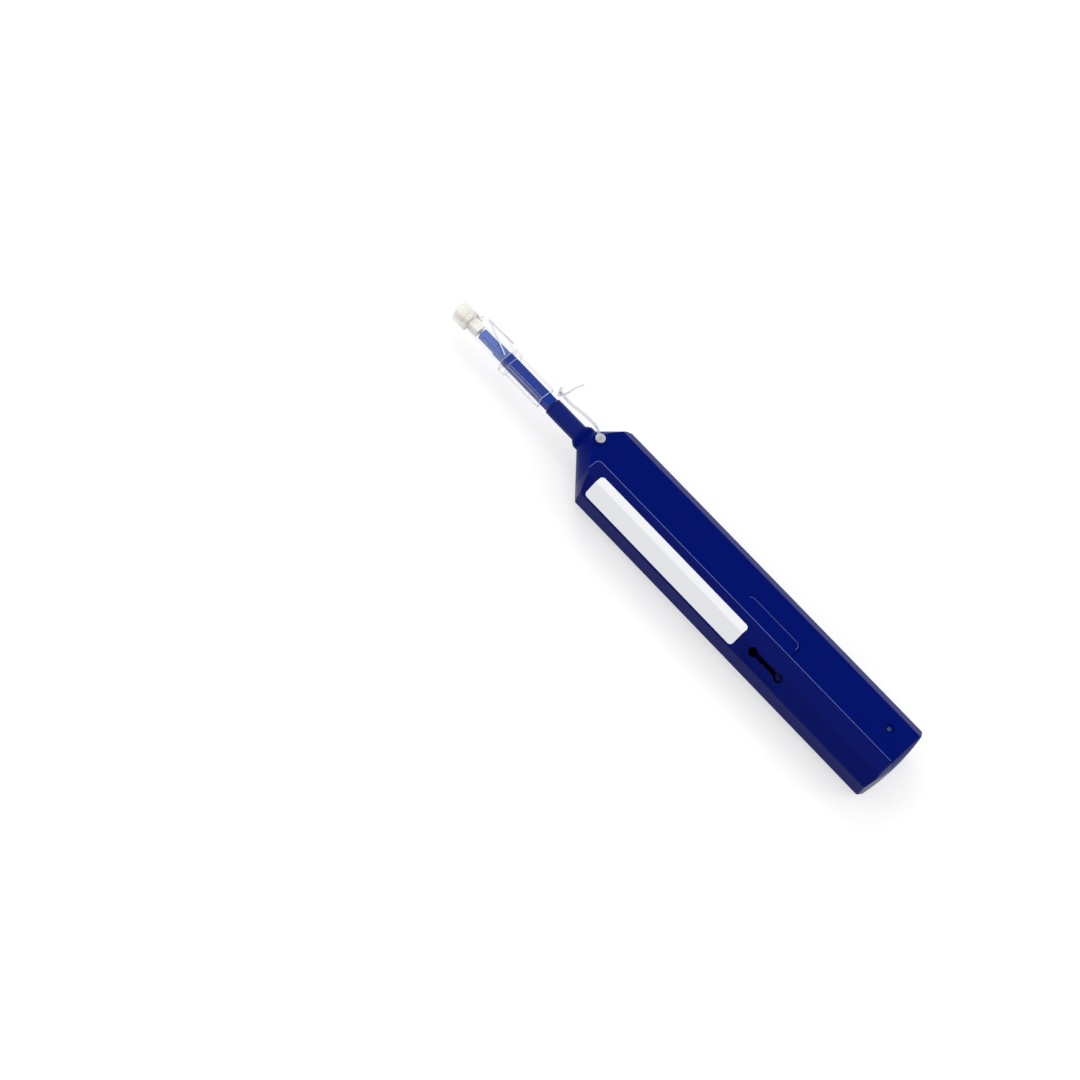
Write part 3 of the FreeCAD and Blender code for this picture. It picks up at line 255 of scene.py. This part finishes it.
STRAP_R, KNOT_R = 0.52, 0.62
TAIL_THINNING = 0.45          # share of the strap's radius lost at the tail's tip
STRAP_ROUTE = [(42.6, -2.0, 18.44), (43.6, -2.8, 18.44), (44.9, -3.85, 18.2), (46.5, -5.1, 17.1), (48.3, -6.1, 15.8),
               (50.7, -6.65, 14.75), (53.6, -7.05, 13.85), (57.0, -7.05, 13.1), (60.4, -6.95, 12.4), (63.2, -7.3, 11.9),
               (66.6, -7.7, 11.4)]
STRAP_SPANS = [("strap_at_case", "housing", "cleaning_unit", 42.0, 46.6),
               ("strap_middle", "cleaning_unit", "nozzle", 46.6, 63.0),
               ("strap_at_cap", "nozzle", "guide_cap", 63.0, 67.0)]
TAIL_ROUTE = [(66.2, -7.7, 11.5), (65.0, -7.9, 12.0), (64.2, -8.7, 13.2), (63.7, -10.0, 14.6), (63.2, -11.6, 15.6),
              (62.7, -13.0, 16.0), (62.2, -14.4, 16.0)]
KNOT_ROUTE = [(67.4, -8.9, 12.6), (66.6, -7.7, 11.4), (65.9, -6.8, 10.4)]


def tether():
    """Clear strap in three spans, one for each joint between the case and the cap, then its knot and loose tail."""
    run = eased(STRAP_ROUTE, 8)
    for name, rear_body, front_body, x0, x1 in STRAP_SPANS:
        inside = [p for p in run if x0 * MM - 1e-9 <= p.x <= x1 * MM + 1e-9]
        ends = [p for p in run if p.x > x1 * MM]
        if ends:
            inside.append(ends[0])
        span = round_bar(name, inside, STRAP_R, clear_strap)
        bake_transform(span)
        if name == "strap_at_case":
            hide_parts("tether_strap")
    tail = eased(TAIL_ROUTE)
    taper = [STRAP_R * (1 - TAIL_THINNING * i / (len(tail) - 1)) for i in range(len(tail))]
    for piece in (round_bar("strap_tail", tail, taper, clear_strap),
                  round_bar("strap_knot", eased(KNOT_ROUTE), KNOT_R, clear_strap)):
        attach(piece, "guide_cap")


def arc(x, y, z, radius, first, last, steps=8):
    """Points of a flat arc in millimetres; angles in degrees."""
    span = [math.radians(first + (last - first) * i / steps) for i in range(steps + 1)]
    return [(x + radius * math.cos(a), y + radius * math.sin(a), z) for a in span]


def metres(points):
    return [Vector(p) * MM for p in points]


SEAM_REAR, SEAM_FRONT = -113.6, 36.45
SEAM_Y, SEAM_END_Y = 4.2, 9.5
# radii of the thin bars that carry the painted seam and finger highlight
SEAM_TURN_R, SEAM_HIGHLIGHT_R = 1.7, 0.12
SEAM_TOP, SEAM_BASE = 17.95, 0.1
FINGER_REAR, FINGER_FRONT, FINGER_Y = -60.4, -38.7, -0.3
FINGER_R, FINGER_HIGHLIGHT_R = 1.75, 0.09


def seam_highlights():
    """Lighter blue bars along the seam on both wide faces, and along the snap finger's slit: a painted highlight on the
    seam's edge.
    """
    for name, z in (("seam_highlight_top", SEAM_TOP), ("seam_highlight_base", SEAM_BASE)):
        turn = arc(SEAM_FRONT - SEAM_TURN_R, SEAM_Y + SEAM_TURN_R, z, SEAM_TURN_R, -90, 0)
        path = [(SEAM_REAR, SEAM_Y, z)] + turn + [(SEAM_FRONT, SEAM_END_Y, z)]
        edge = round_bar(name, metres(path), SEAM_HIGHLIGHT_R, seam_highlight_blue, 6)
        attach(edge, "housing")
    finger = (arc(FINGER_REAR, FINGER_Y, SEAM_TOP, FINGER_R, 150, 270)
              + arc(FINGER_FRONT, FINGER_Y, SEAM_TOP, FINGER_R, -90, -30))
    edge = round_bar("finger_highlight", metres(finger), FINGER_HIGHLIGHT_R, seam_highlight_blue, 6)
    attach(edge, "housing")


RIB_FRONT = (105.0, -8.2, 10.3)
RIB_FEET = {"cap_rib_across": (90.3, -1.6, 11.85), "cap_rib_along": (92.2, -8.5, 10.3)}
RIB_RADII = [0.4, 0.28]
KNUCKLE_X, KNUCKLE_Y, KNUCKLE_ENDS = 107.45, -7.05, (10.35, 7.6)
KNUCKLE_R, KNUCKLE_DISC = 0.5, 0.06


def cap_ribs():
    """Two thin ribs in a V, from the front of the bowed strap back to the flange and to the strap's root; their
    near-white colour is a painted refraction highlight.
    """
    for name, foot in RIB_FEET.items():
        rib = round_bar(name, metres([RIB_FRONT, foot]), RIB_RADII, rib_highlight, 8)
        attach(rib, "guide_cap")
    for k, z in enumerate(KNUCKLE_ENDS):
        faces = [(KNUCKLE_X, KNUCKLE_Y, z - KNUCKLE_DISC), (KNUCKLE_X, KNUCKLE_Y, z + KNUCKLE_DISC)]
        stud = round_bar(f"knuckle_end_{k + 1}", metres(faces), KNUCKLE_R, cap_sheen, 14)
        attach(stud, "guide_cap")


SKIRT_REAR, SKIRT_FRONT = 68.75, 86.1
SKIRT_HALF, SKIRT_CUT = 3.45, 0.72
SKIRT_SHEEN_R = 0.06
FLANGE_OUT = 0.7              # how far the flange stands out past the skirt
# rims drawn as whitish bars that carry the painted sheen of the cap's turned walls
CAP_RIMS = [("skirt_rim", SKIRT_REAR, 0.0, 0.12), ("flange_rim_rear", 86.2, FLANGE_OUT, 0.08),
            ("flange_rim_front", 89.1, FLANGE_OUT, 0.08)]


def cap_sheen_lines():
    """Whitish bars along the clear cap's skirt corners and its rims: a painted sheen where the clear wall turns."""
    half, short = SKIRT_HALF, SKIRT_HALF - SKIRT_CUT
    corners = [(half, short), (short, half), (-short, half), (-half, short),
               (-half, -short), (-short, -half), (short, -half), (half, -short)]
    for k, (y, z) in enumerate(corners):
        ends = [(x, AXIS_Y + y, AXIS_Z + z) for x in (SKIRT_REAR, SKIRT_FRONT)]
        edge = round_bar(f"skirt_sheen_{k + 1}", metres(ends), SKIRT_SHEEN_R, cap_sheen, 6)
        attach(edge, "guide_cap")
    for name, x, grow, thick in CAP_RIMS:
        scale = 1 + grow / half
        loop = [(x, AXIS_Y + y * scale, AXIS_Z + z * scale) for y, z in corners + corners[:1]]
        rim = round_bar(name, metres(loop), thick, cap_sheen, 6)
        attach(rim, "guide_cap")


def rounded_box(name, x0, x1, side, corner, steps, material, wall=0.0):
    """Square box about the nozzle axis with rounded corners; a wall makes it a cup, closed in front."""
    build = bmesh.new()
    shells = [(x0, x1, side, corner)]
    if wall:
        shells.append((x0, x1 - wall, side - 2 * wall, corner - wall))

    def at_mouth(part):
        return wall and all(abs(v.co.x - x0 * MM) < 1e-6 for v in part.verts)

    for first, last, width, radius in shells:
        cube = bmesh.ops.create_cube(build, size=1.0)["verts"]
        for vert in cube:
            x, y, z = vert.co
            vert.co = Vector(((first + last) / 2 + x * (last - first), AXIS_Y + y * width, AXIS_Z + z * width)) * MM
        rounded = [e for e in {e for v in cube for e in v.link_edges} if not at_mouth(e)]
        bmesh.ops.bevel(build, geom=rounded, offset=radius * MM, segments=steps, profile=0.5, affect="EDGES")
    if wall:
        rear = [f for f in build.faces if at_mouth(f)]
        mouths = [e for f in rear for e in f.edges]
        bmesh.ops.delete(build, geom=rear, context="FACES_ONLY")
        bmesh.ops.bridge_loops(build, edges=mouths)
        bmesh.ops.recalc_face_normals(build, faces=build.faces)
    for face in build.faces:
        face.smooth = True
    mesh = bpy.data.meshes.new(name)
    build.to_mesh(mesh)
    build.free()
    mesh.materials.append(material)
    box = bpy.data.objects.new(name, mesh)
    bpy.context.scene.collection.objects.link(box)
    return box


LID_REAR, LID_FRONT, LID_SIDE = 108.9, 116.14, 6.88
LID_CORNER, LID_WALL = 1.5, 0.55
CRADLE_RUN, CRADLE_R = [(107.9, -6.35, AXIS_Z), (109.2, -6.25, AXIS_Z)], 0.24
CRADLE_HEIGHTEN = 5.0         # the round bar is stretched along z into a flat lug
PLUG_REAR, PLUG_FRONT, PLUG_SIDE, PLUG_CORNER = 111.6, 115.5, 4.28, 0.4
STEM_REAR, STEM_FRONT, STEM_SIDE, STEM_CORNER = 109.2, 111.7, 3.3, 0.3


def scaled_about(centre, factors):
    """Transform that scales about a point given in metres."""
    return Matrix.Translation(centre) @ Matrix.Diagonal((*factors, 1)) @ Matrix.Translation(-centre)


def soft_lid():
    """Lid with softly rounded corners, its stepped plug and its cradle round the strap's knuckle."""
    lid = rounded_box("soft_lid", LID_REAR, LID_FRONT, LID_SIDE, LID_CORNER, 5, clear_lid, wall=LID_WALL)
    # the cradle takes the whitish painted-sheen material
    cradle = round_bar("lid_cradle", metres(CRADLE_RUN), CRADLE_R, cap_sheen, 10)
    cradle.data.transform(scaled_about(Vector((0, 0, AXIS_Z)) * MM, (1, 1, CRADLE_HEIGHTEN)))
    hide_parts("dust_lid")
    for piece in (lid, cradle):
        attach(piece, "dust_lid")
    plug = rounded_box("soft_plug", PLUG_REAR, PLUG_FRONT, PLUG_SIDE, PLUG_CORNER, 3, plug_cream)
    stem = rounded_box("plug_stem", STEM_REAR, STEM_FRONT, STEM_SIDE, STEM_CORNER, 2, plug_cream)
    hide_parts("lid_plug")
    for piece in (plug, stem):
        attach(piece, "dust_lid")


def copy_of_solid(node, name):
    """Copy of a node's mesh where it lies at rest, linked to the scene under a new name."""
    mesh = nodes[node].data.copy()
    mesh.transform(nodes[node].matrix_world)
    piece = bpy.data.objects.new(name, mesh)
    bpy.context.scene.collection.objects.link(piece)
    return piece


SPRING_SEATS = {
    "return_spring": ("return_coil", "cleaning_unit", "nozzle", (-2.2, AXIS_Y, AXIS_Z), (16.5, AXIS_Y, AXIS_Z)),
    "latch_spring": ("latch_coil", "cleaning_unit", "latch_button", (-65.35, 8.6, 12.08), (-65.35, 10.8, 14.28)),
}


def coils():
    """Both springs as their wire where it rests, between the two pieces it pushes apart."""
    for node, (name, seat_body, moving_body, seat, moving) in SPRING_SEATS.items():
        wire = copy_of_solid(node, name)
        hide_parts(node)
        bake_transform(wire)


FERRULE_X = 106.35
FERRULE_SHRINK = (0.985, 0.975, 0.975)


def ferrule_block():
    """The cream guide, drawn a hair inside its room so that the clear wall round it reads as a wall."""
    block = copy_of_solid("ferrule_guide", "ferrule_block")
    block.data.transform(scaled_about(Vector((FERRULE_X, AXIS_Y, AXIS_Z)) * MM, FERRULE_SHRINK))
    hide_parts("ferrule_guide")
    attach(block, "guide_cap")


tether()
seam_highlights()
cap_ribs()
cap_sheen_lines()
soft_lid()
ferrule_block()
coils()


# ---- table, light and camera --------------------------------------------------------------------------------
TABLE_SIZE, TABLE_GREY, TABLE_GLOW = 4.0, 0.52, 0.56
AIR_LIGHT, AIR_SEEN = 0.78, 1.0
CAMERA_PLACE = (-0.13165, 0.48802, 0.85062)
CAMERA_RIGHT = (-0.6815570, -0.6917203, 0.2387532)
CAMERA_UP = (0.7127581, -0.5536464, 0.4306409)
CAMERA_BACK = (-0.1656982, 0.4636796, 0.8703708)
CAMERA_LENS, CAMERA_SENSOR = 90.07, 36
# each lamp's place in metres, disc diameter and power; all aim at the origin
LAMPS = {"key_softbox": ((1.1, -0.9, 1.1), 1.0, 6), "rear_softbox": ((-1.2, -0.9, 1.2), 1.0, 4),
         "side_softbox": ((1.3, 0.95, 0.5), 1.0, 3.5)}


def seen_directly(tree):
    """1 where the eye sees a surface itself, in a reflection or through clear plastic, and 0 for scattered light."""
    rays = tree.nodes.new("ShaderNodeLightPath")
    seen = rays.outputs["Is Camera Ray"]
    for kind in ("Is Glossy Ray", "Is Transmission Ray"):
        either = tree.nodes.new("ShaderNodeMath")
        either.operation = "MAXIMUM"
        tree.links.new(seen, either.inputs[0])
        tree.links.new(rays.outputs[kind], either.inputs[1])
        seen = either.outputs[0]
    return seen


def white_table():
    """Pale table that shows white and still takes the pen's soft shadow."""
    mesh = bpy.data.meshes.new("white_table")
    build = bmesh.new()
    bmesh.ops.create_grid(build, x_segments=1, y_segments=1, size=TABLE_SIZE)
    build.to_mesh(mesh)
    build.free()
    table = bpy.data.objects.new("white_table", mesh)
    bpy.context.scene.collection.objects.link(table)
    material = bpy.data.materials.new("table_paper")
    material.use_nodes = True
    tree = material.node_tree
    shader = tree.nodes["Principled BSDF"]
    shader.inputs["Base Color"].default_value = (TABLE_GREY, TABLE_GREY, TABLE_GREY, 1)
    shader.inputs["Roughness"].default_value = 0.9
    shader.inputs["Specular IOR Level"].default_value = 0.1
    shader.inputs["Emission Color"].default_value = (1, 1, 1, 1)
    glow = tree.nodes.new("ShaderNodeMath")
    glow.operation = "MULTIPLY"
    glow.inputs[1].default_value = TABLE_GLOW
    tree.links.new(seen_directly(tree), glow.inputs[0])
    tree.links.new(glow.outputs[0], shader.inputs["Emission Strength"])
    mesh.materials.append(material)


def lamp(name, place, size, watts):
    """Round soft lamp aimed at the middle of the pen."""
    light = bpy.data.lights.new(name, "AREA")
    light.shape = "DISK"
    light.size = size
    light.energy = watts
    obj = bpy.data.objects.new(name, light)
    obj.location = place
    obj.rotation_euler = (-Vector(place)).to_track_quat("-Z", "Y").to_euler()
    bpy.context.scene.collection.objects.link(obj)


def surroundings():
    """Even white air round the table, a little dimmer as a light than it looks."""
    world = bpy.data.worlds.new("studio_air")
    bpy.context.scene.world = world
    world.use_nodes = True
    tree = world.node_tree
    air = tree.nodes["Background"]
    air.inputs["Color"].default_value = (1, 1, 1, 1)
    level = tree.nodes.new("ShaderNodeMapRange")
    level.inputs["To Min"].default_value = AIR_LIGHT
    level.inputs["To Max"].default_value = AIR_SEEN
    tree.links.new(seen_directly(tree), level.inputs["Value"])
    tree.links.new(level.outputs["Result"], air.inputs["Strength"])


def camera():
    """Camera over the front of the table, set by its three axes."""
    data = bpy.data.cameras.new("bench_camera")
    data.lens = CAMERA_LENS
    data.sensor_width = CAMERA_SENSOR
    data.clip_start = 0.01
    view = bpy.data.objects.new("bench_camera", data)
    turn = Matrix((CAMERA_RIGHT, CAMERA_UP, CAMERA_BACK)).transposed().to_4x4()
    view.matrix_world = Matrix.Translation(CAMERA_PLACE) @ turn
    bpy.context.scene.collection.objects.link(view)
    bpy.context.scene.camera = view


white_table()
for name, (place, size, watts) in LAMPS.items():
    lamp(name, place, size, watts)
surroundings()
camera()
bpy.context.scene.view_settings.view_transform = "Standard"
